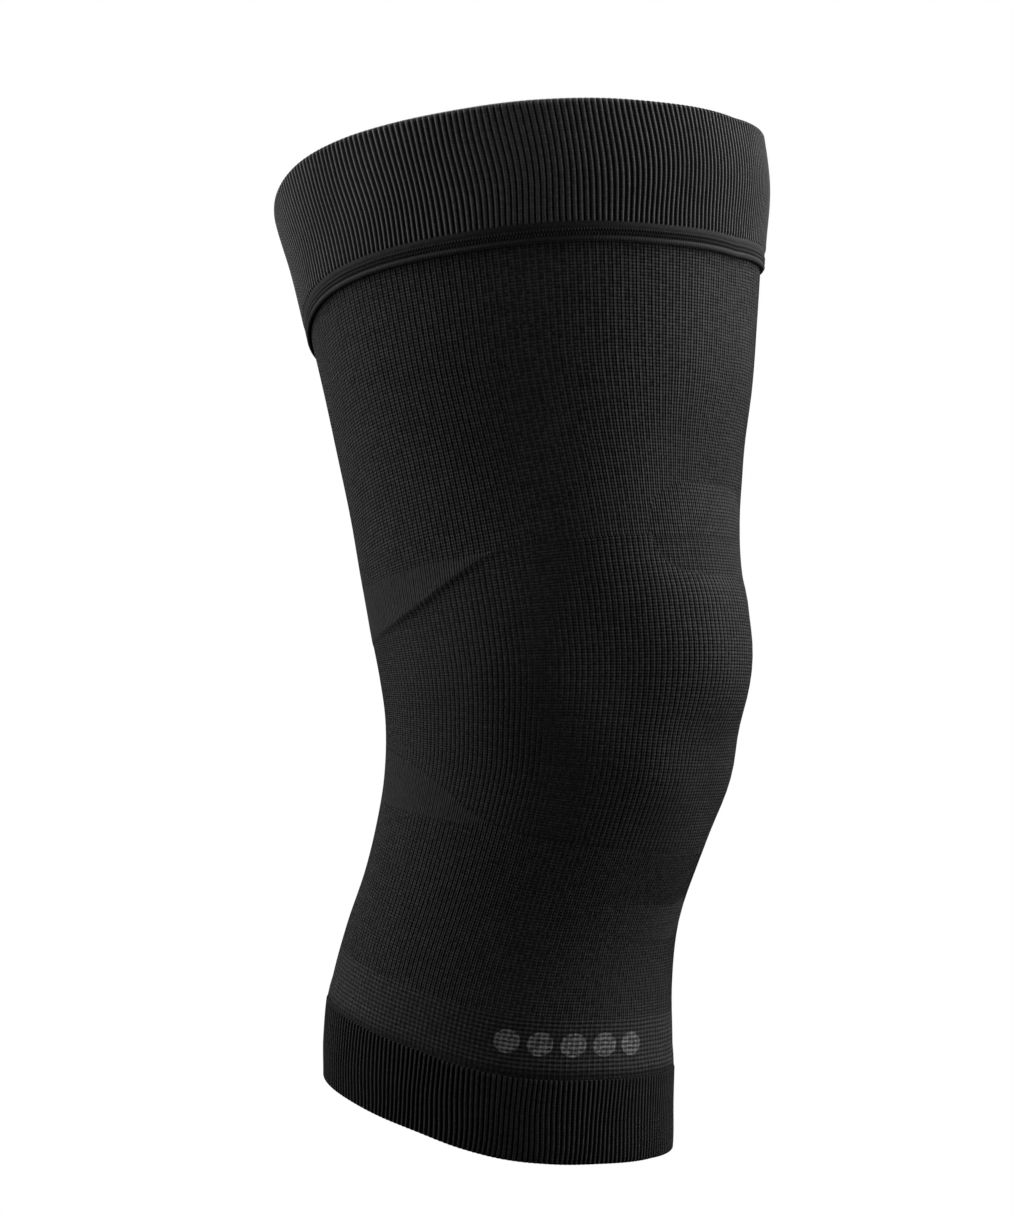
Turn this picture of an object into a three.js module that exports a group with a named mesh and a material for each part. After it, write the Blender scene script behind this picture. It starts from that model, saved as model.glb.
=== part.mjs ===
// A knitted knee sleeve in millimetres, in the form it takes on a slightly bent leg.
// The origin is the middle of the knee on the leg's axis, +Z runs up the thigh, the kneecap faces -Y.
import * as THREE from "three";

// Lengths along the leg's axis, from the middle of the knee to the two edges
const THIGH_LENGTH = 161;
const CALF_LENGTH = 141;

// How far thigh and calf lean back from the knee, in degrees, and the length over which the leg bends
const THIGH_LEAN = 11.5;
const CALF_LEAN = 11.5;
const BEND_LENGTH = 90;

// The leg inside the sleeve, side to side and front to back
const THIGH_WIDTH = 150;
const THIGH_DEPTH = 149;
const KNEE_WIDTH = 110;
const KNEE_DEPTH = 115;
const CALF_WIDTH = 97;
const CALF_DEPTH = 103;
const ROUNDNESS = 2.15; // power of the rounded section, where 2 is an ellipse

// The top edge rides higher at the sides than at the front, and the bottom edge hangs lower there
const TOP_RISE = 10.5;
const BOTTOM_DROP = 3;

// Bands, from the top edge down
const THIGH_CUFF_HEIGHT = 36.5;
const SEAM_HEIGHT = 6;
const CALF_CUFF_HEIGHT = 25.5;

// Walls, from the leg outwards
const THIGH_CUFF_WALL = 2.2;
const CALF_CUFF_WALL = 1.6;
const BODY_WALL = 1.4;
const SEAM_WALL = 1.1;
const RIB_RELIEF = 0.6;
const CLEARANCE = 0.3; // between neighbouring pieces

// Ribs round each cuff
const THIGH_RIBS = 260;
const CALF_RIBS = 210;

// The cloth that slides up behind the knee and folds over itself
const FOLD_TOP = 36.5; // the straight course that it starts from, along the axis
const FOLD_DROP = 20; // how far its lip hangs below that course
const FOLD_HEIGHT = 2; // how far the lip stands out

// Sections of the leg as shares: at of THIGH_LENGTH or CALF_LENGTH, the others of half a width or depth
// forward is how far the middle of the section lies in front of the axis
const SECTIONS = [
  { at: -1.10, side: 0.97, depth: 1.08, forward: -0.04 },
  { at: -1.00, side: 1.00, depth: 1.08, forward: -0.05 },
  { at: -0.90, side: 1.03, depth: 1.07, forward: -0.10 },
  { at: -0.78, side: 1.05, depth: 1.04, forward: -0.14 },
  { at: -0.64, side: 1.02, depth: 0.97, forward: -0.16 },
  { at: -0.50, side: 0.98, depth: 0.91, forward: -0.14 },
  { at: -0.36, side: 0.96, depth: 0.91, forward: -0.10 },
  { at: -0.22, side: 0.95, depth: 0.94, forward: -0.06 },
  { at: -0.10, side: 0.97, depth: 0.96, forward: -0.03 },
  { at: 0.00, side: 0.99, depth: 0.96, forward: -0.03 },
  { at: 0.12, side: 0.99, depth: 0.96, forward: -0.04 },
  { at: 0.24, side: 0.98, depth: 0.95, forward: -0.04 },
  { at: 0.38, side: 0.98, depth: 0.96, forward: 0.00 },
  { at: 0.52, side: 1.00, depth: 1.00, forward: 0.06 },
  { at: 0.66, side: 1.02, depth: 1.01, forward: 0.10 },
  { at: 0.80, side: 1.02, depth: 1.02, forward: 0.13 },
  { at: 0.90, side: 1.01, depth: 1.03, forward: 0.15 },
  { at: 1.00, side: 1.00, depth: 1.02, forward: 0.14 },
  { at: 1.10, side: 0.98, depth: 0.99, forward: 0.13 },
];

// Bumps and hollows round the knee, each on both sides of the leg
// at, height and reach are shares of KNEE_DEPTH, angle and spread are degrees round from the front
const FEATURES = [
  { name: "kneecap", at: 0.06, angle: 0, height: 0.046, reach: 0.155, spread: 26 },
  { name: "rim above the kneecap", at: 0.20, angle: 8, height: 0.008, reach: 0.05, spread: 16 },
  { name: "hollow below the kneecap", at: -0.13, angle: 12, height: -0.008, reach: 0.07, spread: 22 },
  { name: "hollow above the kneecap", at: 0.36, angle: 0, height: -0.014, reach: 0.12, spread: 30 },
  { name: "thigh muscle", at: 0.46, angle: 44, height: 0.018, reach: 0.22, spread: 20 },
  { name: "hollow beside the kneecap", at: 0.04, angle: 46, height: -0.020, reach: 0.16, spread: 15 },
  { name: "pad below the kneecap", at: -0.22, angle: 24, height: 0.010, reach: 0.09, spread: 15 },
  { name: "shin bump", at: -0.44, angle: 0, height: 0.014, reach: 0.12, spread: 18 },
  { name: "side of the joint", at: 0.05, angle: 82, height: 0.012, reach: 0.24, spread: 18 },
  { name: "hamstring cord", at: 0.20, angle: 146, height: 0.012, reach: 0.40, spread: 16 },
  { name: "hollow behind the knee", at: 0.04, angle: 180, height: -0.022, reach: 0.34, spread: 24 },
];

// The fold's lip from each side to the back: angle in degrees, drop and height as shares of its sizes
const FOLD = [
  { angle: 70, drop: 0.00, height: 0.00 },
  { angle: 80, drop: 0.08, height: 0.35 },
  { angle: 90, drop: 0.26, height: 0.80 },
  { angle: 105, drop: 0.56, height: 1.00 },
  { angle: 120, drop: 0.80, height: 0.80 },
  { angle: 135, drop: 0.97, height: 0.35 },
  { angle: 155, drop: 1.08, height: 0.15 },
  { angle: 180, drop: 1.12, height: 0.10 },
];

// The two edges round the leg from the front to the back: shares of TOP_RISE and BOTTOM_DROP
const EDGES = [
  { angle: 0, rise: 0.00, drop: 0.00 },
  { angle: 26, rise: 0.14, drop: 0.20 },
  { angle: 44, rise: 0.36, drop: 0.65 },
  { angle: 60, rise: 0.56, drop: 0.95 },
  { angle: 75, rise: 0.71, drop: 0.80 },
  { angle: 90, rise: 0.86, drop: 0.35 },
  { angle: 105, rise: 0.94, drop: 0.05 },
  { angle: 120, rise: 0.88, drop: -0.30 },
  { angle: 135, rise: 0.60, drop: -0.50 },
  { angle: 150, rise: 0.15, drop: -0.60 },
  { angle: 165, rise: -0.15, drop: -0.60 },
  { angle: 180, rise: -0.25, drop: -0.60 },
];

const radians = THREE.MathUtils.degToRad;
const clamp = THREE.MathUtils.clamp;

function smooth(share) {
  const t = clamp(share, 0, 1);
  return t * t * (3 - 2 * t);
}

// The slope of a column at a row of a table, from the rows on either side of it
function slopeAt(rows, key, column, i) {
  const before = rows[Math.max(i - 1, 0)];
  const after = rows[Math.min(i + 1, rows.length - 1)];
  return (after[column] - before[column]) / (after[key] - before[key]);
}

// A smooth curve through a column of a table, whose rows rise in the key column
function between(rows, key, column, value) {
  const place = clamp(value, rows[0][key], rows[rows.length - 1][key]);
  let i = 0;
  while (i < rows.length - 2 && rows[i + 1][key] < place) i += 1;
  const step = rows[i + 1][key] - rows[i][key];
  const t = (place - rows[i][key]) / step;
  const from = slopeAt(rows, key, column, i) * step;
  const to = slopeAt(rows, key, column, i + 1) * step;
  const rest = 1 - t;
  return (1 + 2 * t) * rest * rest * rows[i][column] + t * rest * rest * from
    + t * t * (3 - 2 * t) * rows[i + 1][column] - t * t * rest * to;
}

// The leg's axis: straight below and above the knee, with an arc of BEND_LENGTH between
function axisAt(station) {
  const radius = BEND_LENGTH / radians(THIGH_LEAN + CALF_LEAN);
  const middle = radians(THIGH_LEAN - CALF_LEAN) / 2;
  const bent = clamp(station, -BEND_LENGTH / 2, BEND_LENGTH / 2);
  const straight = station - bent;
  const lean = middle + bent / radius;
  return {
    lean,
    y: radius * (Math.cos(middle) - Math.cos(lean)) + straight * Math.sin(lean),
    z: radius * (Math.sin(lean) - Math.sin(middle)) + straight * Math.cos(lean),
  };
}

// Half the leg's width and depth at a station, and how far its middle lies in front of the axis
function sectionAt(station) {
  const at = station / (station > 0 ? THIGH_LENGTH : CALF_LENGTH);
  const through = (calf, knee, thigh) =>
    (knee + ((thigh - calf) / 2) * at + ((thigh + calf) / 2 - knee) * at * at) / 2;
  const depth = through(CALF_DEPTH, KNEE_DEPTH, THIGH_DEPTH);
  return {
    side: through(CALF_WIDTH, KNEE_WIDTH, THIGH_WIDTH) * between(SECTIONS, "at", "side", at),
    depth: depth * between(SECTIONS, "at", "depth", at),
    forward: depth * between(SECTIONS, "at", "forward", at),
  };
}

// Degrees between two directions round the leg, from 0 to 180
function apart(a, b) {
  const turn = Math.abs(a - b) % 360;
  return Math.min(turn, 360 - turn);
}

// How far the bumps and hollows stand out at a place
function featureRelief(station, angle) {
  const degrees = THREE.MathUtils.radToDeg(angle);
  let relief = 0;
  for (const feature of FEATURES) {
    const along = (station / KNEE_DEPTH - feature.at) / feature.reach;
    const round = Math.min(apart(degrees, feature.angle), apart(degrees, -feature.angle)) / feature.spread;
    relief += feature.height * KNEE_DEPTH * Math.exp(-((along * along + round * round) ** 1.25));
  }
  return relief;
}

// A point of the leg inside the sleeve: a superellipse square to the axis, with its bumps
function legPoint(station, angle) {
  const { lean, y, z } = axisAt(station);
  const { side, depth, forward } = sectionAt(station);
  const ahead = Math.cos(angle);
  const aside = Math.sin(angle);
  const full = (Math.abs(ahead) ** ROUNDNESS + Math.abs(aside) ** ROUNDNESS) ** (-1 / ROUNDNESS);
  const x = side * aside * full;
  const d = depth * ahead * full;
  const swell = 1 + featureRelief(station, angle) / Math.hypot(x, d);
  const front = forward + d * swell;
  return new THREE.Vector3(x * swell, y - Math.cos(lean) * front, z + Math.sin(lean) * front);
}

// A point at a height above the leg, measured square to the leg's surface
function clothPoint(station, angle, height) {
  const small = 0.02;
  const up = legPoint(station + 1, angle).sub(legPoint(station - 1, angle));
  const round = legPoint(station, angle + small).sub(legPoint(station, angle - small));
  const outward = round.cross(up).normalize();
  return legPoint(station, angle).addScaledVector(outward, height);
}

// The directions that divide a section into equal lengths round the leg, from the front
const evenCache = new Map();

function evenAngles(station, count) {
  const name = `${station} ${count}`;
  if (evenCache.has(name)) return evenCache.get(name);
  const samples = 720;
  const lengths = [0];
  let last = legPoint(station, 0);
  for (let i = 1; i <= samples; i += 1) {
    const next = legPoint(station, (i / samples) * 2 * Math.PI);
    lengths.push(lengths[i - 1] + next.distanceTo(last));
    last = next;
  }
  const angles = [];
  let i = 0;
  for (let j = 0; j < count; j += 1) {
    const wanted = (j / count) * lengths[samples];
    while (lengths[i + 1] <= wanted) i += 1;
    const share = (wanted - lengths[i]) / (lengths[i + 1] - lengths[i]);
    angles.push(((i + share) / samples) * 2 * Math.PI);
  }
  evenCache.set(name, angles);
  return angles;
}

const SEAM_BOTTOM = THIGH_LENGTH - THIGH_CUFF_HEIGHT - SEAM_HEIGHT;
const CALF_CUFF_TOP = CALF_CUFF_HEIGHT - CALF_LENGTH;

// How far a row lies above its station at a direction: nothing at the knee, all of it at the cuffs
function edgeShift(station, angle) {
  const degrees = apart(THREE.MathUtils.radToDeg(angle), 0);
  const rise = TOP_RISE * between(EDGES, "angle", "rise", degrees) * smooth(station / SEAM_BOTTOM);
  const drop = BOTTOM_DROP * between(EDGES, "angle", "drop", degrees) * smooth(station / CALF_CUFF_TOP);
  return rise - drop;
}

// A ring round the leg: its station and height may change with the direction and the column
function ring(station, height, count, shift = () => 0) {
  return evenAngles(station, count).map((angle, column) => {
    const place = station + shift(station, angle);
    const above = typeof height === "function" ? height(place, angle, column) : height;
    return clothPoint(place + edgeShift(place, angle), angle, above);
  });
}

// One closed solid from a loop of rings: up the outside, over the edge, down the inside
function tube(name, material, rings) {
  const positions = rings.flat().flatMap((point) => point.toArray());
  const starts = [];
  let start = 0;
  for (const points of rings) {
    starts.push(start);
    start += points.length;
  }
  const triangles = [];
  rings.forEach((lower, k) => {
    const next = (k + 1) % rings.length;
    const upper = rings[next];
    let i = 0;
    let j = 0;
    while (i < lower.length || j < upper.length) {
      const a = starts[k] + (i % lower.length);
      const b = starts[next] + (j % upper.length);
      const lowerFirst = (i + 1) / lower.length <= (j + 1) / upper.length;
      if (i < lower.length && (lowerFirst || j >= upper.length)) {
        i += 1;
        triangles.push(a, starts[k] + (i % lower.length), b);
      } else {
        j += 1;
        triangles.push(a, starts[next] + (j % upper.length), b);
      }
    }
  });
  const geometry = new THREE.BufferGeometry();
  geometry.setAttribute("position", new THREE.Float32BufferAttribute(positions, 3));
  geometry.setIndex(triangles);
  geometry.computeVertexNormals();
  const mesh = new THREE.Mesh(geometry, material);
  mesh.name = name;
  return mesh;
}

// A height that steps between the crest and the groove of each rib, one column each
function ribbed(wall) {
  return (station, angle, column) => wall + (column % 2 === 0 ? RIB_RELIEF : 0);
}

const PLAIN_COLUMNS = 60;

// A ribbed cuff between two stations, with both edges rounded over
function cuff(name, material, bottom, top, wall, ribs, rows) {
  const round = wall / 2;
  const rings = [];
  rings.push(ring(bottom, wall / 2, PLAIN_COLUMNS));
  for (let row = 0; row <= rows; row += 1) {
    const station = bottom + round + ((top - bottom - 2 * round) * row) / rows;
    rings.push(ring(station, ribbed(wall), 2 * ribs));
  }
  rings.push(ring(top, wall / 2, PLAIN_COLUMNS));
  rings.push(ring(top - round, 0, PLAIN_COLUMNS));
  rings.push(ring((top + bottom) / 2, 0, PLAIN_COLUMNS));
  rings.push(ring(bottom + round, 0, PLAIN_COLUMNS));
  return tube(name, material, rings);
}

// The hem that covers the join under the thigh cuff: at and height are shares of its own sizes
const SEAM_PROFILE = [
  { at: 0.00, height: 0.00 },
  { at: 0.00, height: 0.60 },
  { at: 0.10, height: 1.00 },
  { at: 0.24, height: 0.92 },
  { at: 0.34, height: 0.76 },
  { at: 0.62, height: 0.78 },
  { at: 0.72, height: 1.00 },
  { at: 0.96, height: 0.95 },
  { at: 1.00, height: 0.00 },
];

function cuffSeam(material) {
  const inside = BODY_WALL + CLEARANCE;
  const rings = SEAM_PROFILE.map((row) =>
    ring(SEAM_BOTTOM + row.at * SEAM_HEIGHT, inside + row.height * SEAM_WALL, PLAIN_COLUMNS));
  return tube("cuff_seam", material, rings);
}

// The lip's station and height at a direction: it leaves the straight course at the sides
function foldAt(angle) {
  const degrees = apart(THREE.MathUtils.radToDeg(angle), 0);
  return {
    lip: FOLD_TOP - FOLD_DROP * between(FOLD, "angle", "drop", degrees),
    height: FOLD_HEIGHT * between(FOLD, "angle", "height", degrees),
  };
}

// Rows of the body as shares: below the fold of the stretch under it, in it of the fold itself
const ROWS_BELOW = [0.00, 0.08, 0.18, 0.28, 0.38, 0.47, 0.56, 0.64, 0.71, 0.78, 0.84, 0.89, 0.93, 0.965, 0.99];
const ROWS_IN_FOLD = [0.00, 0.15, 0.45, 1.00];
const ROWS_ABOVE = [0.12, 0.25, 0.39, 0.54, 0.70, 0.86, 0.97];
const FOLD_REST = 34.5; // where the lip's row starts from at the front, along the axis

// The body's wall swells towards the lip and drops away sharply under it
function bodyHeight(station, angle) {
  const fold = foldAt(angle);
  const reach = Math.max(FOLD_TOP - fold.lip, FOLD_HEIGHT);
  const above = (station - fold.lip) / reach;
  const below = (fold.lip - station) / FOLD_HEIGHT;
  const swell = above >= 0 ? 1 - smooth(above) : 1 - smooth(below);
  return BODY_WALL + fold.height * swell;
}

// Moves a row so that the rows about FOLD_REST follow the lip
function followLip(bottom) {
  return (station, angle) => {
    const drop = FOLD_REST - Math.min(foldAt(angle).lip, FOLD_REST);
    if (station > FOLD_REST) {
      return -drop * (1 - clamp((station - FOLD_REST) / (FOLD_TOP - FOLD_REST), 0, 1));
    }
    return -drop * smooth((station - bottom) / (FOLD_REST - bottom));
  };
}

function sleeveBody(material) {
  const bottom = CALF_CUFF_TOP + CLEARANCE;
  const top = SEAM_BOTTOM + SEAM_HEIGHT;
  const shift = followLip(-FOLD_DROP);
  const stations = [
    ...ROWS_BELOW.map((share) => bottom + share * (FOLD_REST - bottom)),
    ...ROWS_IN_FOLD.map((share) => FOLD_REST + share * (FOLD_TOP - FOLD_REST)),
    ...ROWS_ABOVE.map((share) => FOLD_TOP + share * (SEAM_BOTTOM - FOLD_TOP)),
    top,
  ];
  const outside = stations.map((station) => ring(station, bodyHeight, PLAIN_COLUMNS, shift));
  const insideRows = 9;
  const inside = [];
  for (let row = 0; row <= insideRows; row += 1) {
    inside.push(ring(top + ((bottom - top) * row) / insideRows, 0, PLAIN_COLUMNS));
  }
  return tube("sleeve_body", material, [...outside, ...inside]);
}

// Matt black knits: the cuffs a little darker than the body, the hem a little smoother
function knit(colour, roughness) {
  return new THREE.MeshStandardMaterial({ color: colour, roughness, metalness: 0 });
}

const thighCuffKnit = knit(0x161617, 0.9);
const seamKnit = knit(0x1b1b1c, 0.8);
const bodyKnit = knit(0x1d1d1e, 0.85);
const calfCuffKnit = knit(0x161617, 0.9);

const sleeve = new THREE.Group();
const cuffBottom = SEAM_BOTTOM + SEAM_HEIGHT + CLEARANCE;
sleeve.add(cuff("thigh_cuff", thighCuffKnit, cuffBottom, THIGH_LENGTH, THIGH_CUFF_WALL, THIGH_RIBS, 2));
sleeve.add(cuffSeam(seamKnit));
sleeve.add(sleeveBody(bodyKnit));
sleeve.add(cuff("calf_cuff", calfCuffKnit, -CALF_LENGTH, CALF_CUFF_TOP, CALF_CUFF_WALL, CALF_RIBS, 1));

export default sleeve;
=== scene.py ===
"""A seamless knitted knee sleeve in its worn form: thigh cuff, hem, body and calf cuff.

Every surface is worked out in millimetres from the leg's sections, then made a mesh in metres.
"""
import math

import bpy
import numpy as np
from mathutils import Matrix, Vector


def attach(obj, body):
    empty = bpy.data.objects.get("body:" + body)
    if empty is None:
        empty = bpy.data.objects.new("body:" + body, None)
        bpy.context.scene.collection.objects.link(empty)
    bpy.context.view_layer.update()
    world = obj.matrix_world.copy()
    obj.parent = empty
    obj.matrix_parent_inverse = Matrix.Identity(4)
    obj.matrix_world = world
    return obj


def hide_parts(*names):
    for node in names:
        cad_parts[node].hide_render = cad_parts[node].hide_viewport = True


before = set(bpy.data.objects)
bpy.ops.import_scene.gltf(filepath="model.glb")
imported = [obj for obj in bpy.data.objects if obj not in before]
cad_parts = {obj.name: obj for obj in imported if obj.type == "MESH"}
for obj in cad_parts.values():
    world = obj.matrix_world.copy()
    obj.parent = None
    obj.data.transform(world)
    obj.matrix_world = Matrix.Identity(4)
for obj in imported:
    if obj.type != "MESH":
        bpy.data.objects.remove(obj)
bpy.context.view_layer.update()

MM = 0.001

# Lengths of the form in millimetres and leans in degrees, as in the part's source
THIGH_LENGTH = 161.0
CALF_LENGTH = 141.0
THIGH_LEAN = math.radians(11.5)
CALF_LEAN = math.radians(11.5)
BEND_LENGTH = 90.0
THIGH_WIDTH, THIGH_DEPTH = 150.0, 149.0
KNEE_WIDTH, KNEE_DEPTH = 110.0, 115.0
CALF_WIDTH, CALF_DEPTH = 97.0, 103.0
ROUNDNESS = 2.15
TOP_RISE = 10.5
BOTTOM_DROP = 3.0
THIGH_CUFF_HEIGHT = 36.5
SEAM_HEIGHT = 6.0
CALF_CUFF_HEIGHT = 25.5
THIGH_CUFF_WALL = 2.2
CALF_CUFF_WALL = 1.6
BODY_WALL = 1.4
SEAM_WALL = 1.1
RIB_RELIEF = 0.6
CLEARANCE = 0.3
FOLD_TOP = 36.5
FOLD_DROP = 20.0
FOLD_HEIGHT = 2.0
SEAM_BOTTOM = THIGH_LENGTH - THIGH_CUFF_HEIGHT - SEAM_HEIGHT
CALF_CUFF_TOP = CALF_CUFF_HEIGHT - CALF_LENGTH

# Ribs and stitches, counted round the leg
THIGH_RIBS = 260
CALF_RIBS = 210
WALES = 200
HEM_STITCHES = 484

# Millimetres of cloth to a row of stitches
COURSE = 0.93
KNEE_COURSE = 0.8

# Columns of the mesh to a rib, a wale or a stitch
COLUMNS = 6

# Sections of the leg: at is a share of the thigh's or calf's length from the knee, and side, depth
# and forward are shares of the plain leg's size there
SECTIONS = np.array([
    (-1.10, 0.97, 1.08, -0.04),
    (-1.00, 1.00, 1.08, -0.05),
    (-0.90, 1.03, 1.07, -0.10),
    (-0.78, 1.05, 1.04, -0.14),
    (-0.64, 1.02, 0.97, -0.16),
    (-0.50, 0.98, 0.91, -0.14),
    (-0.36, 0.96, 0.91, -0.10),
    (-0.22, 0.95, 0.94, -0.06),
    (-0.10, 0.97, 0.96, -0.03),
    (0.00, 0.99, 0.96, -0.03),
    (0.12, 0.99, 0.96, -0.04),
    (0.24, 0.98, 0.95, -0.04),
    (0.38, 0.98, 0.96, 0.00),
    (0.52, 1.00, 1.00, 0.06),
    (0.66, 1.02, 1.01, 0.10),
    (0.80, 1.02, 1.02, 0.13),
    (0.90, 1.01, 1.03, 0.15),
    (1.00, 1.00, 1.02, 0.14),
    (1.10, 0.98, 0.99, 0.13),
])

# Bumps and hollows round the knee: at, height and reach are shares of the knee's depth, and
# angle and spread are degrees round from the front, on both sides
FEATURES = [
    dict(name="kneecap", at=0.06, angle=0, height=0.046, reach=0.155, spread=26),
    dict(name="rim above the kneecap", at=0.20, angle=8, height=0.008, reach=0.05, spread=16),
    dict(name="hollow below the kneecap", at=-0.13, angle=12, height=-0.008, reach=0.07, spread=22),
    dict(name="hollow above the kneecap", at=0.36, angle=0, height=-0.014, reach=0.12, spread=30),
    dict(name="thigh muscle", at=0.46, angle=44, height=0.018, reach=0.22, spread=20),
    dict(name="hollow beside the kneecap", at=0.04, angle=46, height=-0.020, reach=0.16, spread=15),
    dict(name="pad below the kneecap", at=-0.22, angle=24, height=0.010, reach=0.09, spread=15),
    dict(name="shin bump", at=-0.44, angle=0, height=0.014, reach=0.12, spread=18),
    dict(name="side of the joint", at=0.05, angle=82, height=0.012, reach=0.24, spread=18),
    dict(name="hamstring cord", at=0.20, angle=146, height=0.012, reach=0.40, spread=16),
    dict(name="hollow behind the knee", at=0.04, angle=180, height=-0.022, reach=0.34, spread=24),
]

# The fold behind the knee: angle in degrees from the front, drop and height as shares of its sizes
FOLD = np.array([
    (70, 0.00, 0.00),
    (80, 0.08, 0.35),
    (90, 0.26, 0.80),
    (105, 0.56, 1.00),
    (120, 0.80, 0.80),
    (135, 0.97, 0.35),
    (155, 1.08, 0.15),
    (180, 1.12, 0.10),
])

# The two edges round the leg: angle from the front, rise of the top and drop of the bottom as shares
EDGES = np.array([
    (0, 0.00, 0.00),
    (26, 0.14, 0.20),
    (44, 0.36, 0.65),
    (60, 0.56, 0.95),
    (75, 0.71, 0.80),
    (90, 0.86, 0.35),
    (105, 0.94, 0.05),
    (120, 0.88, -0.30),
    (135, 0.60, -0.50),
    (150, 0.15, -0.60),
    (165, -0.15, -0.60),
    (180, -0.25, -0.60),
])

# Where the knee's ribs end below, and the course below that: angle from the front and the two
# stations, with a smooth wedge of knit between them behind the knee
KNEE_EDGES = np.array([
    (0, -44.0, -44.0),
    (60, -43.5, -43.5),
    (71, -43.0, -43.5),
    (89, -40.0, -45.0),
    (100, -35.0, -46.0),
    (124, -28.0, -47.5),
    (146, -26.0, -49.0),
    (180, -25.0, -50.0),
])

# How much of the wales' drift shows, by degrees from the front
DRIFT = np.array([
    (0, 0.0),
    (25, 0.7),
    (40, 1.0),
    (65, 1.0),
    (90, 0.65),
    (130, 0.3),
    (180, 0.0),
])
# The drift in wales, the stations where it starts and the length over which it grows
THIGH_DRIFT = 4.5
CALF_DRIFT = 3.0
THIGH_DRIFT_START = 30.0
CALF_DRIFT_START = -60.0
DRIFT_GROWTH = 60.0


def smooth(share):
    """0 below 0 and 1 above 1, with three squares less two cubes of the share between."""
    t = np.clip(share, 0, 1)
    return t * t * (3 - 2 * t)


def curve(table, column, value):
    """A smooth cubic through a column, whose slope at a row is that of its two neighbours."""
    key = table[:, 0]
    col = table[:, column]
    slope = np.empty(len(key))
    slope[1:-1] = (col[2:] - col[:-2]) / (key[2:] - key[:-2])
    slope[0] = (col[1] - col[0]) / (key[1] - key[0])
    slope[-1] = (col[-1] - col[-2]) / (key[-1] - key[-2])
    place = np.clip(value, key[0], key[-1])
    i = np.clip(np.searchsorted(key, place, side="right") - 1, 0, len(key) - 2)
    step = key[i + 1] - key[i]
    t = (place - key[i]) / step
    rest = 1 - t
    near = (1 + 2 * t) * rest * rest * col[i] + t * rest * rest * slope[i] * step
    far = t * t * (3 - 2 * t) * col[i + 1] - t * t * rest * slope[i + 1] * step
    return near + far


def apart(a, b):
    """Degrees between two directions round the leg, from 0 to 180."""
    return 180 - np.abs(np.abs(a - b) % 360 - 180)


def axis(station):
    """The leg's axis: straight below and above the knee, with an arc of BEND_LENGTH between."""
    radius = BEND_LENGTH / (THIGH_LEAN + CALF_LEAN)
    middle = (THIGH_LEAN - CALF_LEAN) / 2
    bent = np.clip(station, -BEND_LENGTH / 2, BEND_LENGTH / 2)
    lean = middle + bent / radius
    y = radius * (np.cos(middle) - np.cos(lean)) + (station - bent) * np.sin(lean)
    z = radius * (np.sin(lean) - np.sin(middle)) + (station - bent) * np.cos(lean)
    return y, z, lean


def relief(station, angle):
    """How far the bumps and hollows stand out: a flat-topped bell round the middle of each."""
    degrees = np.degrees(angle)
    total = 0.0
    for row in FEATURES:
        along = (station / KNEE_DEPTH - row["at"]) / row["reach"]
        near = np.minimum(apart(degrees, row["angle"]), apart(degrees, -row["angle"]))
        off = near / row["spread"]
        total = total + row["height"] * KNEE_DEPTH * np.exp(-(along * along + off * off) ** 1.25)
    return total


def plain_size(share, calf, knee, thigh):
    """Half a parabola through the calf's, the knee's and the thigh's size."""
    bow = (thigh + calf) / 2 - knee
    return (knee + (thigh - calf) / 2 * share + bow * share * share) / 2


def leg(station, angle):
    """The leg inside the sleeve: a superellipse square to the axis, swelled by its bumps."""
    station, angle = np.broadcast_arrays(np.asarray(station, float), np.asarray(angle, float))
    y, z, lean = axis(station)
    share = np.where(station > 0, station / THIGH_LENGTH, station / CALF_LENGTH)
    base = plain_size(share, CALF_DEPTH, KNEE_DEPTH, THIGH_DEPTH)
    side = plain_size(share, CALF_WIDTH, KNEE_WIDTH, THIGH_WIDTH) * curve(SECTIONS, 1, share)
    depth = base * curve(SECTIONS, 2, share)
    forward = base * curve(SECTIONS, 3, share)
    ahead = np.cos(angle)
    aside = np.sin(angle)
    full = (np.abs(ahead) ** ROUNDNESS + np.abs(aside) ** ROUNDNESS) ** (-1 / ROUNDNESS)
    x = side * aside * full
    d = depth * ahead * full
    swell = 1 + relief(station, angle) / np.hypot(x, d)
    front = forward + d * swell
    return np.stack([x * swell, y - np.cos(lean) * front, z + np.sin(lean) * front], -1)


def cloth(station, angle, height):
    """A point at a height above the leg, square to its surface."""
    up = leg(station + 1, angle) - leg(station - 1, angle)
    around = leg(station, angle + 0.02) - leg(station, angle - 0.02)
    outward = np.cross(around, up)
    outward = outward / np.linalg.norm(outward, axis=-1, keepdims=True)
    return leg(station, angle) + outward * np.asarray(height)[..., None]


def edge_shift(station, angle):
    """How far a row lies above its station: nothing at the knee, all of it at the two edges."""
    degrees = apart(np.degrees(angle), 0)
    rise = TOP_RISE * curve(EDGES, 1, degrees) * smooth(station / SEAM_BOTTOM)
    drop = BOTTOM_DROP * curve(EDGES, 2, degrees) * smooth(station / CALF_CUFF_TOP)
    return rise - drop


def fold_at(angle):
    """The station of the fold's lip and its height, which both change round the leg."""
    degrees = apart(np.degrees(angle), 0)
    lip = FOLD_TOP - FOLD_DROP * curve(FOLD, 1, degrees)
    return lip, FOLD_HEIGHT * np.clip(curve(FOLD, 2, degrees), 0, None)


def drift(station, turn):
    """How many wales the cloth slides away from the front, above the knee and low on the calf."""
    side = np.where(turn % 1 > 0.5, -1, 1)
    above = THIGH_DRIFT * smooth((station - THIGH_DRIFT_START) / DRIFT_GROWTH)
    below = CALF_DRIFT * smooth((CALF_DRIFT_START - station) / DRIFT_GROWTH)
    return side * curve(DRIFT, 1, apart(turn * 360, 0)) * (above + below)


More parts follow.
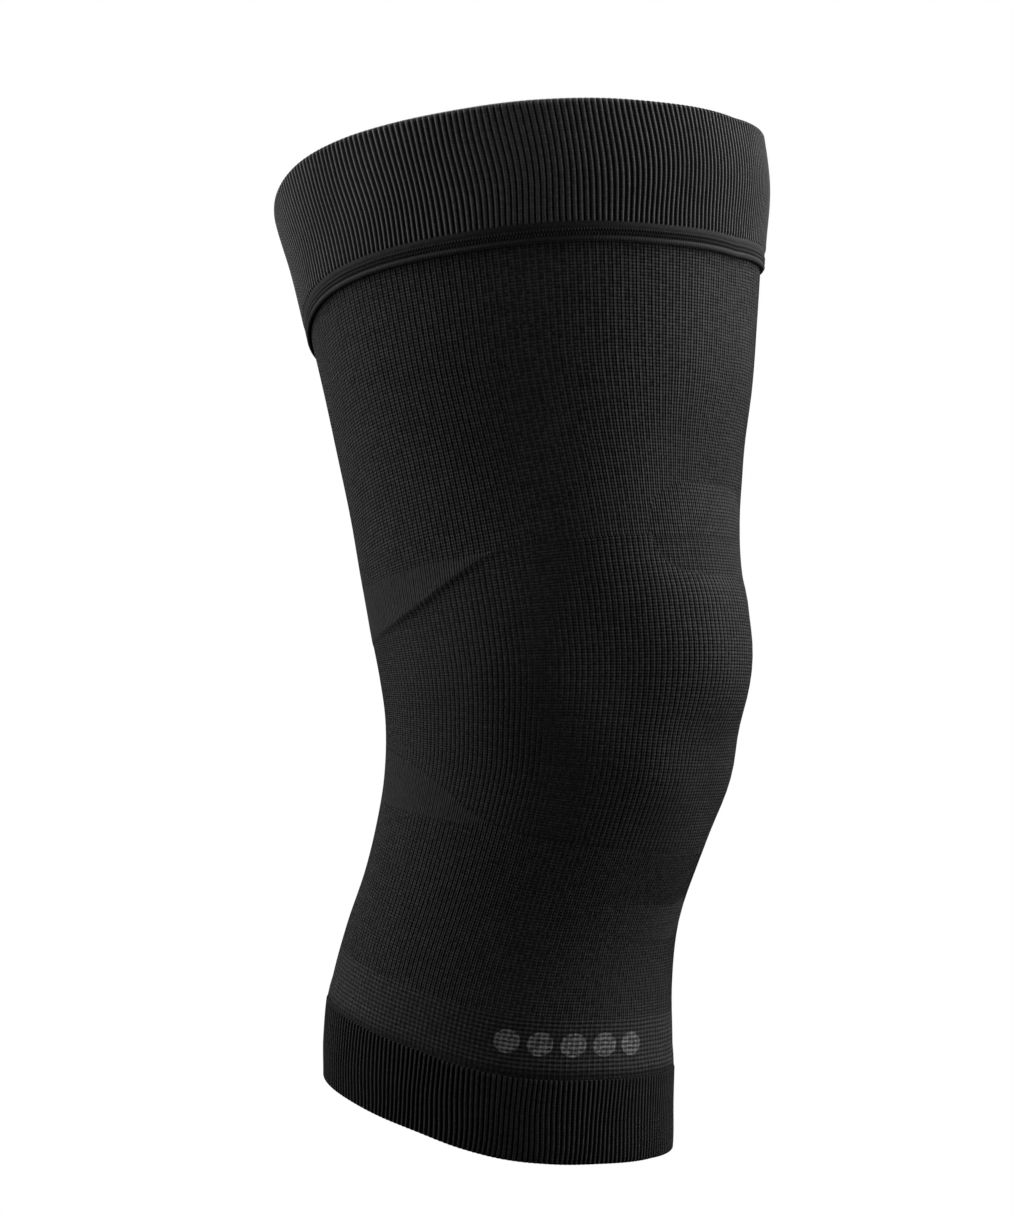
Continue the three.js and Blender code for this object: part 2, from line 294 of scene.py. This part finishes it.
def wale_angles(stations, turns):
    """The direction of each wale on each row: equal lengths of cloth round the leg from the front."""
    samples = np.linspace(0, 2 * math.pi, 721)
    ring = leg(stations[:, None], samples[None, :])
    steps = np.linalg.norm(np.diff(ring, axis=1), axis=-1)
    length = np.concatenate([np.zeros((len(stations), 1)), np.cumsum(steps, axis=1)], axis=1)
    rows = []
    for row in range(len(stations)):
        whole = length[row, -1]
        rows.append(np.interp(turns[row] % 1 * whole, length[row], samples))
    return np.array(rows)


def make_object(name, mesh, material, node):
    """Puts a mesh in the scene as a piece that stands for a node of the frame."""
    piece = bpy.data.objects.new(name, mesh)
    bpy.context.scene.collection.objects.link(piece)
    mesh.materials.append(material)
    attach(piece, "root")
    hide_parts(node)
    return piece


def tube_mesh(name, points, uv, marks=None):
    """A closed ring-shaped grid of quads: rows run round the wall's profile, columns round the leg.

    points is rows x columns x 3 in millimetres, and uv is rows + 1 x columns + 1 x 2.
    """
    rows, columns = points.shape[:2]
    i, j = np.meshgrid(np.arange(rows), np.arange(columns), indexing="ij")
    up = (i + 1) % rows
    right = (j + 1) % columns
    quads = np.stack([i * columns + j, i * columns + right, up * columns + right, up * columns + j], -1)
    mesh = bpy.data.meshes.new(name)
    mesh.vertices.add(rows * columns)
    mesh.vertices.foreach_set("co", (points * MM).ravel())
    mesh.loops.add(quads.size)
    mesh.loops.foreach_set("vertex_index", quads.ravel())
    mesh.polygons.add(rows * columns)
    mesh.polygons.foreach_set("loop_start", np.arange(0, quads.size, 4))
    mesh.polygons.foreach_set("use_smooth", np.ones(rows * columns, bool))
    layer = mesh.uv_layers.new(name="Knit")
    corners = np.stack([uv[i, j], uv[i, j + 1], uv[i + 1, j + 1], uv[i + 1, j]], 2)
    layer.data.foreach_set("uv", corners.ravel())
    for key, values in (marks or {}).items():
        mark = mesh.attributes.new(key, "FLOAT", "POINT")
        mark.data.foreach_set("value", np.ascontiguousarray(values).ravel())
    mesh.update(calc_edges=True)
    mesh.validate()
    return mesh


def grid_uv(along, columns, wales):
    """Wales across, counted from the front, and millimetres along from the knee."""
    v = np.broadcast_to(along, (along.shape[0], columns))
    v = np.concatenate([v, v[:, :1]], axis=1)
    v = np.concatenate([v, v[:1]], axis=0)
    u = np.linspace(0, wales, columns + 1)
    return np.stack(np.broadcast_arrays(u[None, :], v), -1)


def wall_loop(bottom, top, wall, rows, inside_rows, bottom_round, top_round):
    """The wall's profile as stations and heights: up the outside, over the edge and down the inside.

    Each edge has a quarter circle outside and another inside, of its own radius.
    """
    quarter = np.linspace(0, math.pi / 2, 4)
    stations = [np.linspace(bottom + bottom_round, top - top_round, rows)[1:-1]]
    heights = [np.full(rows - 2, wall)]
    stations.append(top - top_round + top_round * np.sin(quarter))
    heights.append(wall - top_round + top_round * np.cos(quarter))
    stations.append((top - top_round + top_round * np.cos(quarter))[1:])
    heights.append((top_round - top_round * np.sin(quarter))[1:])
    stations.append(np.linspace(top - top_round, bottom + bottom_round, inside_rows)[1:-1])
    heights.append(np.zeros(inside_rows - 2))
    stations.append(bottom + bottom_round - bottom_round * np.sin(quarter))
    heights.append(bottom_round - bottom_round * np.cos(quarter))
    stations.append((bottom + bottom_round - bottom_round * np.cos(quarter))[1:])
    heights.append((wall - bottom_round + bottom_round * np.sin(quarter))[1:])
    return np.concatenate(stations), np.concatenate(heights)


def rib_section(phase):
    """The height across one rib, 0 in its groove and 1 on its crest: 1 less the cosine's fourth power."""
    return 1 - np.cos(math.pi * phase) ** 4


def wander(station, turn, reach):
    """How many ribs they stray sideways: two slow waves round the leg."""
    first = np.sin(2 * math.pi * (3 * turn + 0.1) + station / 17)
    second = np.sin(2 * math.pi * (11 * turn + 0.4) - station / 7)
    return reach * (0.6 * first + 0.4 * second)


def ribbed_cuff(name, loop, wall, ribs, stray, lean):
    """A ribbed cuff: the wall's profile carried round the leg, with six columns to a rib.

    The ribs stray sideways and lean over by lean ribs from the bottom edge to the top one.
    """
    stations, heights = loop
    share = np.clip(heights / wall * 2 - 1, 0, 1)
    columns = ribs * COLUMNS
    turn = np.arange(columns) / columns
    climb = (stations[:, None] - stations.min()) / (stations.max() - stations.min())
    shifted = turn[None, :] + (wander(stations[:, None], turn[None, :], stray) + lean * climb) / ribs
    angle = wale_angles(stations, shifted)
    height = heights[:, None] + RIB_RELIEF * share[:, None] * rib_section(turn * ribs)[None, :]
    place = stations[:, None] + edge_shift(stations[:, None], angle)
    points = cloth(place, angle, height)
    return tube_mesh(name, points, grid_uv(stations[:, None], columns, ribs))


class Value:
    """A number in a shader: Python's operators on it add Math nodes."""

    def __init__(self, shader, socket):
        self.shader = shader
        self.socket = socket

    def math(self, operation, *values):
        made = self.shader.node("ShaderNodeMath", {"operation": operation}, dict(enumerate(values)))
        return Value(self.shader, made.outputs[0])

    def __add__(self, other):
        return self.math("ADD", self, other)

    def __radd__(self, other):
        return self.math("ADD", other, self)

    def __sub__(self, other):
        return self.math("SUBTRACT", self, other)

    def __rsub__(self, other):
        return self.math("SUBTRACT", other, self)

    def __mul__(self, other):
        return self.math("MULTIPLY", self, other)

    def __rmul__(self, other):
        return self.math("MULTIPLY", other, self)

    def __truediv__(self, other):
        return self.math("DIVIDE", self, other)

    def fract(self):
        return self.math("FRACT", self)

    def floor(self):
        return self.math("FLOOR", self)

    def absolute(self):
        return self.math("ABSOLUTE", self)

    def between(self, low, high):
        """0 on low's side and 1 on high's side, with a smooth step between them."""
        made = self.shader.node(
            "ShaderNodeMapRange", {"interpolation_type": "SMOOTHSTEP"},
            {"Value": self, "From Min": low, "From Max": high})
        return Value(self.shader, made.outputs["Result"])

    def peak(self, at, reach):
        """1 at one place in every whole step and 0 from reach away on, with smooth sides."""
        off = ((self - at + 0.5).fract() - 0.5).absolute()
        return off.between(reach, reach * 0.2)

    def towards(self, other, share):
        """This one where share is 0 and the other where it is 1."""
        return self + (other - self) * share


class Shader:
    """One material's nodes. node() adds any node, and the rest are short names for common ones."""

    def __init__(self, name):
        self.material = bpy.data.materials.new(name)
        self.material.use_nodes = True
        self.tree = self.material.node_tree
        self.tree.nodes.clear()

    def node(self, kind, settings, sockets):
        made = self.tree.nodes.new(kind)
        for key, value in settings.items():
            setattr(made, key, value)
        for key, value in sockets.items():
            if isinstance(value, Value):
                self.tree.links.new(value.socket, made.inputs[key])
            else:
                made.inputs[key].default_value = value
        return made

    def uv(self):
        made = self.node("ShaderNodeUVMap", {"uv_map": "Knit"}, {})
        split = self.node("ShaderNodeSeparateXYZ", {}, {0: Value(self, made.outputs[0])})
        return Value(self, split.outputs[0]), Value(self, split.outputs[1])

    def mark(self, name):
        made = self.node("ShaderNodeAttribute", {"attribute_name": name}, {})
        return Value(self, made.outputs["Fac"])

    def noise(self, scale, detail):
        place = self.node("ShaderNodeTexCoord", {}, {})
        made = self.node("ShaderNodeTexNoise", {}, {
            "Vector": Value(self, place.outputs["Object"]), "Scale": scale, "Detail": detail})
        return Value(self, made.outputs["Fac"])

    def random(self, across, along):
        """A number from 0 to 1 that differs for each whole step of across and along."""
        cell = self.node("ShaderNodeCombineXYZ", {}, {0: across.floor(), 1: along.floor()})
        made = self.node("ShaderNodeTexWhiteNoise", {"noise_dimensions": "2D"}, {
            "Vector": Value(self, cell.outputs[0])})
        return Value(self, made.outputs["Value"])

    def shade(self, dark, light, amount):
        """A colour between two, by amount."""
        made = self.node("ShaderNodeMix", {"data_type": "RGBA"}, {0: amount, 6: dark, 7: light})
        return Value(self, made.outputs[2])

    def finish(self, colour, roughness, height, depth, sheen):
        """A cloth surface: its colour varies, and height from 0 to 1 is bump of depth millimetres."""
        bump = self.node("ShaderNodeBump", {}, {"Height": height, "Distance": depth * MM, "Strength": 1.0})
        surface = self.node("ShaderNodeBsdfPrincipled", {}, {
            "Base Color": colour, "Roughness": roughness, "Normal": Value(self, bump.outputs[0]),
            "Sheen Weight": sheen, "Sheen Roughness": 0.5, "Specular IOR Level": 0.3})
        out = self.node("ShaderNodeOutputMaterial", {}, {})
        self.tree.links.new(surface.outputs[0], out.inputs[0])
        return self.material


def black(value):
    """A neutral black, with a trace more blue."""
    return (value, value, value * 1.04, 1.0)


def rib_knit(name, dark, light, sheen):
    """Black rib: each crest is a column of small stitches, and painted shade darkens the narrow grooves.
    """
    shader = Shader(name)
    u, v = shader.uv()
    groove = u.peak(0.0, 0.4)
    row = v / COURSE
    stitch = row.peak(0.5, 0.5)
    stray = shader.random(u, row)
    # painted shade: the colour in the rib grooves is darkened almost to black
    tone = (0.2 + stitch * 0.35 + stray * 1.0) * (1 - groove * 0.95)
    colour = shader.shade(dark, light, tone)
    height = (1 - groove) * (0.4 + stitch * 0.3 + stray * 0.3)
    return shader.finish(colour, 0.75, height, 0.32, sheen)


def waffle_tone(shader, u, v):
    """A thin line on each wale painted bright as its highlight, with a painted shadow beside it, and two
    columns of stitches between.
    """
    row = v / COURSE
    stitch = row.peak(0.5, 0.5)
    # painted highlight along each wale's raised line
    line = u.peak(0.0, 0.2)
    # painted shadow: a dark line beside each wale's raised line
    shade = u.peak(0.2, 0.16)
    loops = (u * 2).peak(0.2, 0.5)
    holes = (u * 2).peak(0.75, 0.3) * row.peak(0.0, 0.35)
    stray = shader.random(u * 2, row)
    tone = 0.08 + line * 0.5 + stitch * (0.25 + loops * 0.5)
    tone = tone * (1 - shade * 0.8) * (1 - holes * 0.9) * (0.15 + stray * 1.6)
    return tone, line * 0.35 + stitch * 0.45 * loops + stray * 0.3 - holes * 0.5


def knee_tone(shader, u, v):
    """Low ribs crossed by fine courses, with a bright and a dark one every few rows."""
    row = v / KNEE_COURSE
    groove = u.peak(0.5, 0.26)
    slow = v / 3.4
    stray = shader.random(u * 2, row)
    stitch = row.peak(0.5, 0.5)
    holes = (u * 2).peak(0.0, 0.3) * row.peak(0.0, 0.35)
    tone = 0.1 + stitch * 0.42 + slow.peak(0.0, 0.2) * 0.1 - slow.peak(0.3, 0.2) * 0.08
    # painted shade: the colour in the ribs' grooves is darkened by half
    tone = tone * (1 - groove * 0.5) * (1 - holes * 0.75) * (0.25 + stray * 1.3)
    return tone, (1 - groove) * 0.35 + stitch * 0.35 + stray * 0.3 - holes * 0.3


def wedge_tone(shader, u, v):
    """The smoother knit of the wedges: fine close ribs with painted shade in their grooves, and a lighter
    tone that is partly the smoother knit and partly a painted highlight on the fold's up-turned face.
    """
    groove = (u * 2).peak(0.5, 0.35)
    stray = shader.random(u * 2, v / KNEE_COURSE)
    # painted shade in the fine grooves, and a base tone lifted as painted highlight
    return (0.75 - groove * 0.4) * (0.6 + stray * 0.8), 1 - groove


def band_tone(shader, u, v):
    """Fine level bands above the calf cuff, with a faint line on each wale."""
    band = (v / 1.3).peak(0.5, 0.45)
    line = u.peak(0.0, 0.3)
    stray = shader.random(u * 2, v / 0.65)
    return (0.16 + band * 0.36 + line * 0.24) * (0.4 + stray * 1.2), band * 0.6 + line * 0.2 + stray * 0.2


# The level bands' upper edge, and the length over which the waffle turns into them
BAND_TOP = -97.0
BAND_EDGE = 1.5

# A plain row of dots in a lighter yarn at the lower front: where it starts and the step from one
# dot to the next in wales, and the dots' middle and half height in millimetres
MOTIF_COUNT = 5
MOTIF_START = 167.0
MOTIF_STEP = 6.0
MOTIF_MIDDLE = -105.0
MOTIF_HALF = 3.6


def motif(u, v):
    """1 inside the dots and 0 outside them."""
    across = (u - MOTIF_START) / MOTIF_STEP
    aside = (across.fract() - 0.5) / 0.4
    above = (v - MOTIF_MIDDLE) / MOTIF_HALF
    whole = across.between(-0.01, 0.01) * across.between(MOTIF_COUNT + 0.01, MOTIF_COUNT - 0.01)
    return (aside * aside + above * above).between(1.05, 0.9) * whole


def body_knit(name, dark, light, yarn):
    """The body's knits, each in its own zone: waffle, knee ribs, smooth wedges and level bands."""
    shader = Shader(name)
    u, v = shader.uv()
    knee = shader.mark("to_knee").between(-0.2, 0.3)
    wedge = shader.mark("to_wedge").between(0.1, 0.6)
    band = v.between(BAND_TOP, BAND_TOP - BAND_EDGE)
    tone, height = waffle_tone(shader, u, v)
    for share, other in ((band, band_tone), (knee, knee_tone), (wedge, wedge_tone)):
        other_tone, other_height = other(shader, u, v)
        tone = tone.towards(other_tone, share)
        height = height.towards(other_height, share)
    # painted shadow under the fold's lip: the colour is darkened by half along a thin line at both edges
    # of the knee zone
    edge = shader.mark("to_knee").absolute().between(0.7, 0.2)
    patch = shader.noise(55, 3)
    tone = tone * (1 - edge * 0.5) * (0.7 + patch * 0.6)
    plain = shader.shade(dark, light, tone)
    grey = shader.shade(dark, yarn, tone * 1.4)
    colour = shader.shade(plain, grey, motif(u, v))
    return shader.finish(colour, 0.75, height, 0.42, 0.08)


def hem_knit(name, dark, light):
    """The hem's plain, close knit, darker along the stitched rows, with lighter stitches."""
    shader = Shader(name)
    u, v = shader.uv()
    stitch = shader.mark("stitch")
    row = shader.mark("row")
    fuzz = shader.noise(900, 3)
    stray = shader.random(u, v * 2)
    tone = (fuzz * 0.5 + stray * 0.35) * (1 - row * 0.85) + stitch * 1.8
    colour = shader.shade(dark, light, tone)
    return shader.finish(colour, 0.7, fuzz, 0.08, 0.08)


TUCK = 5.2  # millimetres above the hem's bottom where the thigh cuff starts, behind it


def thigh_cuff():
    """The wide ribbed band round the top."""
    edge = THIGH_CUFF_WALL / 2
    loop = wall_loop(SEAM_BOTTOM + TUCK, THIGH_LENGTH, THIGH_CUFF_WALL, 42, 8, edge, edge)
    mesh = ribbed_cuff("thigh_cuff_rib", loop, THIGH_CUFF_WALL, THIGH_RIBS, stray=0.3, lean=0.0)
    knit = rib_knit("thigh cuff rib", black(0.0006), black(0.023), sheen=0.65)
    return make_object("thigh_cuff_rib", mesh, knit, "thigh_cuff")


def calf_cuff():
    """The narrower, finer ribbed band round the bottom."""
    loop = wall_loop(-CALF_LENGTH, CALF_CUFF_TOP, CALF_CUFF_WALL, 28, 8, CALF_CUFF_WALL / 2, 0.25)
    mesh = ribbed_cuff("calf_cuff_rib", loop, CALF_CUFF_WALL, CALF_RIBS, stray=0.35, lean=1.2)
    knit = rib_knit("calf cuff rib", black(0.0008), black(0.016), sheen=0.15)
    return make_object("calf_cuff_rib", mesh, knit, "calf_cuff")


# The hem's section: at and height are shares of its height and its wall, and stitch is how far the
# stitches stand out there as a share, with their shift in stitches
HEM = np.array([
    (0.00, 0.00, 0.0, 0.0),
    (-0.01, 0.35, 0.0, 0.0),
    (0.00, 0.66, 0.0, 0.0),
    (0.04, 0.78, 0.0, 0.0),
    (0.10, 0.84, 0.3, 0.5),
    (0.16, 0.80, 0.4, 0.5),
    (0.21, 0.66, 0.0, 0.0),
    (0.24, 0.60, 0.0, 0.0),
    (0.27, 0.50, 0.0, 0.0),
    (0.30, 0.50, 0.9, 0.0),
    (0.36, 0.52, 1.0, 0.0),
    (0.42, 0.50, 0.9, 0.0),
    (0.45, 0.48, 0.0, 0.0),
    (0.48, 0.50, 0.9, 0.5),
    (0.54, 0.52, 1.0, 0.5),
    (0.60, 0.50, 0.9, 0.5),
    (0.63, 0.48, 0.0, 0.0),
    (0.66, 0.50, 0.0, 0.0),
    (0.70, 0.60, 0.0, 0.0),
    (0.76, 0.68, 0.0, 0.0),
    (0.84, 0.72, 0.0, 0.0),
    (0.92, 0.70, 0.0, 0.0),
    (0.98, 0.62, 0.0, 0.0),
    (1.00, 0.50, 0.0, 0.0),
    (0.96, 0.36, 0.0, 0.0),
    (0.90, 0.20, 0.0, 0.0),
    (0.84, 0.00, 0.0, 0.0),
    (0.40, 0.00, 0.0, 0.0),
])
STITCH_RELIEF = 0.48


def hem():
    """The coverstitched hem: its section carried round the leg, with six columns to a stitch."""
    stations = SEAM_BOTTOM + HEM[:, 0] * SEAM_HEIGHT
    heights = BODY_WALL + CLEARANCE + HEM[:, 1] * SEAM_WALL
    columns = HEM_STITCHES * COLUMNS
    turn = np.broadcast_to(np.arange(columns) / columns, (len(stations), columns))
    angle = wale_angles(stations, turn)
    bar = np.clip(np.cos(2 * math.pi * (turn * HEM_STITCHES + HEM[:, 3:4])), 0, 1) * HEM[:, 2:3]
    place = stations[:, None] + edge_shift(stations[:, None], angle)
    points = cloth(place, angle, heights[:, None] + bar * STITCH_RELIEF)
    uv = grid_uv(stations[:, None], columns, HEM_STITCHES)
    row = np.broadcast_to(HEM[:, 2:3], bar.shape)
    mesh = tube_mesh("hem_band", points, uv, {"stitch": bar, "row": row})
    knit = hem_knit("hem knit", black(0.001), black(0.03))
    return make_object("hem_band", mesh, knit, "cuff_seam")


# Rows of the body near the fold's lip: from the lip and height are shares of the fold's height
FOLD_ROWS = np.array([
    (-1.00, 0.00),
    (-0.75, 0.08),
    (-0.50, 0.26),
    (-0.28, 0.50),
    (-0.04, 0.76),
    (0.22, 0.94),
    (0.55, 1.00),
])
FOLD_REACH = 2.5  # millimetres of cloth on either side of the lip that follow it as they are
FOLD_FLATTER = 0.38  # the soft cloth's fold as a share of the solid's
# How far the body comes up to meet the calf cuff's ribs, where that starts and ends above the cuff,
# how far its wales stand out and its ground lies in, and its gaps to the two cuffs, in millimetres
FLUSH = 0.55
FLUSH_START = 7.0
FLUSH_END = 1.0
WALE_RELIEF = 0.12
SINK = 0.1
CALF_GAP = 0.1
THIGH_GAP = 0.2


def body_rows():
    """The body's rows from the bottom up the outside and down the inside, and where the fold's begin."""
    bottom = CALF_CUFF_TOP + CALF_GAP
    top = SEAM_BOTTOM + TUCK - THIGH_GAP
    below = np.linspace(bottom, FOLD_TOP - FOLD_REACH, 44)
    fold = np.linspace(FOLD_TOP - 1.6, FOLD_TOP + 0.5, len(FOLD_ROWS))
    above = np.linspace(FOLD_TOP + 1.5, SEAM_BOTTOM - 1, 22)
    inside = np.linspace(top, bottom, 8)
    stations = np.concatenate([below, fold, above, [SEAM_BOTTOM + 1, top], inside])
    outside = np.arange(len(stations)) < len(stations) - len(inside)
    return stations, outside, len(below)


def body():
    """The body: rows that follow the fold's lip, with a fine raised line or a rib for each wale."""
    stations, outside, first = body_rows()
    columns = WALES * COLUMNS
    turn = np.broadcast_to(np.arange(columns) / columns, (len(stations), columns))
    angle = wale_angles(stations, turn + drift(stations[:, None], turn) / WALES)
    degrees = apart(np.degrees(angle), 0)
    lip, fold = fold_at(angle)
    fold = fold * FOLD_FLATTER
    start = stations[:, None]
    rising = smooth((start + FOLD_DROP) / (FOLD_TOP - FOLD_REACH + FOLD_DROP))
    falling = 1 - smooth((start - FOLD_TOP) / (FOLD_DROP * 1.5))
    follow = np.where(start < FOLD_TOP, rising, falling)
    place = start - (FOLD_TOP - lip) * follow * outside[:, None]
    swell = 1 - smooth((place - lip) / np.maximum(FOLD_TOP - lip, 2))
    height = BODY_WALL + fold * np.where(start > FOLD_TOP, swell, 0.0)
    knit = place.copy()
    for k, (from_lip, share) in enumerate(FOLD_ROWS):
        row = first + k
        flat = stations[row] - FOLD_TOP
        amount = np.clip(fold[row] / FOLD_HEIGHT, 0, 1)
        place[row] = lip[row] + flat * (1 - amount) + from_lip * fold[row]
        height[row] = BODY_WALL + fold[row] * share
        knit[row] = lip[row] + flat
    low = curve(KNEE_EDGES, 1, degrees)
    course = curve(KNEE_EDGES, 2, degrees)
    to_knee = np.minimum(lip - knit, knit - low)
    upper = np.minimum(knit - lip, FOLD_TOP - knit)
    lower = np.minimum(low - knit, knit - course)
    phase = turn * WALES
    line = np.clip(1 - COLUMNS * np.abs(phase - np.round(phase)), 0, 1) * WALE_RELIEF
    rib = rib_section(phase + 0.5) * WALE_RELIEF
    wale = line + (rib - line) * smooth((to_knee + 1) / 2)
    flush = FLUSH * smooth((CALF_CUFF_TOP + FLUSH_START - knit) / (FLUSH_START - FLUSH_END))
    height = (height + wale + flush - SINK) * outside[:, None]
    points = cloth(place + edge_shift(place, angle), angle, height)
    marks = {"to_knee": to_knee, "to_wedge": np.maximum(upper, lower)}
    mesh = tube_mesh("body_knit", points, grid_uv(knit, columns, WALES), marks)
    knits = body_knit("body knit", black(0.0008), black(0.044), black(0.28))
    return make_object("body_knit", mesh, knits, "sleeve_body")


# The camera: at the photograph's angle to the sleeve, looking a little up
CAMERA_TURN = math.radians(60)
CAMERA_RISE = math.radians(1.84)
CAMERA_AWAY = 1.1
CAMERA_ASIDE = -0.01988
CAMERA_HIGH = -0.01146
FOCAL_PIXELS = 3447
FRAME_PIXELS = 1214
SENSOR = 36.0


def make_camera():
    """Stands CAMERA_AWAY from the knee, turned by CAMERA_TURN from the sleeve's front."""
    ahead = Vector((math.sin(CAMERA_TURN), math.cos(CAMERA_TURN), 0))
    right = Vector((math.cos(CAMERA_TURN), -math.sin(CAMERA_TURN), 0))
    look = ahead * math.cos(CAMERA_RISE) + Vector((0, 0, math.sin(CAMERA_RISE)))
    up = right.cross(look)
    data = bpy.data.cameras.new("camera")
    data.sensor_width = SENSOR
    data.lens = FOCAL_PIXELS / FRAME_PIXELS * SENSOR
    camera = bpy.data.objects.new("camera", data)
    turn = Matrix((right, up, -look)).transposed().to_4x4()
    place = Matrix.Translation(ahead * -CAMERA_AWAY + right * CAMERA_ASIDE + Vector((0, 0, CAMERA_HIGH)))
    camera.matrix_world = place @ turn
    bpy.context.scene.collection.objects.link(camera)
    bpy.context.scene.camera = camera


# Soft panels: degrees to the right of the camera's side and above the level, metres away and
# across, and watts
PANELS = [
    dict(name="left rim panel", turn=-110, rise=45, away=0.65, size=(0.45, 0.65), power=2.2),
    dict(name="left panel", turn=-75, rise=5, away=0.8, size=(0.55, 0.8), power=1.8),
    dict(name="high left panel", turn=-75, rise=45, away=0.65, size=(0.45, 0.65), power=1.0),
    dict(name="high right panel", turn=75, rise=45, away=0.65, size=(0.45, 0.65), power=1.1),
    dict(name="right panel", turn=75, rise=5, away=0.8, size=(0.55, 0.8), power=2.3),
    dict(name="right rim panel", turn=110, rise=45, away=0.65, size=(0.45, 0.65), power=3.4),
]
CLOTH_LIGHT = 0.01  # how bright the white room is to the cloth


def soft_panel(name, turn, rise, away, size, power):
    """A soft rectangular light that faces the knee."""
    data = bpy.data.lights.new(name, "AREA")
    data.shape = "RECTANGLE"
    data.size, data.size_y = size
    data.energy = power
    light = bpy.data.objects.new(name, data)
    heading = CAMERA_TURN + math.pi - math.radians(turn)
    level = math.cos(math.radians(rise))
    towards = Vector((math.sin(heading) * level, math.cos(heading) * level, math.sin(math.radians(rise))))
    light.location = towards * away
    light.rotation_euler = towards.to_track_quat("Z", "Y").to_euler()
    bpy.context.scene.collection.objects.link(light)


def make_room():
    """White all round as the camera sees it, and dim to the cloth."""
    world = bpy.data.worlds.new("studio")
    world.use_nodes = True
    nodes, links = world.node_tree.nodes, world.node_tree.links
    nodes.clear()
    seen = nodes.new("ShaderNodeLightPath")
    white = nodes.new("ShaderNodeMix")
    white.data_type = "RGBA"
    white.inputs[6].default_value = (CLOTH_LIGHT, CLOTH_LIGHT, CLOTH_LIGHT, 1)
    white.inputs[7].default_value = (1, 1, 1, 1)
    links.new(seen.outputs["Is Camera Ray"], white.inputs[0])
    sky = nodes.new("ShaderNodeBackground")
    links.new(white.outputs[2], sky.inputs[0])
    out = nodes.new("ShaderNodeOutputWorld")
    links.new(sky.outputs[0], out.inputs[0])
    bpy.context.scene.world = world
    bpy.context.scene.view_settings.view_transform = "Standard"


def make_floor():
    """A white floor well below the sleeve, seen by the camera alone."""
    data = bpy.data.meshes.new("floor")
    reach = 30.0
    low = -0.45
    corners = [(-reach, -reach, low), (reach, -reach, low), (reach, reach, low), (-reach, reach, low)]
    data.from_pydata(corners, [], [(0, 1, 2, 3)])
    floor = bpy.data.objects.new("floor", data)
    shader = Shader("white floor")
    surface = shader.node("ShaderNodeBsdfPrincipled", {}, {
        "Base Color": (0, 0, 0, 1), "Specular IOR Level": 0.0,
        "Emission Color": (1, 1, 1, 1), "Emission Strength": 1.0})
    out = shader.node("ShaderNodeOutputMaterial", {}, {})
    shader.tree.links.new(surface.outputs[0], out.inputs[0])
    data.materials.append(shader.material)
    floor.visible_diffuse = False
    floor.visible_glossy = False
    bpy.context.scene.collection.objects.link(floor)


thigh_cuff()
hem()
body()
calf_cuff()
make_camera()
make_room()
for panel in PANELS:
    soft_panel(**panel)
make_floor()
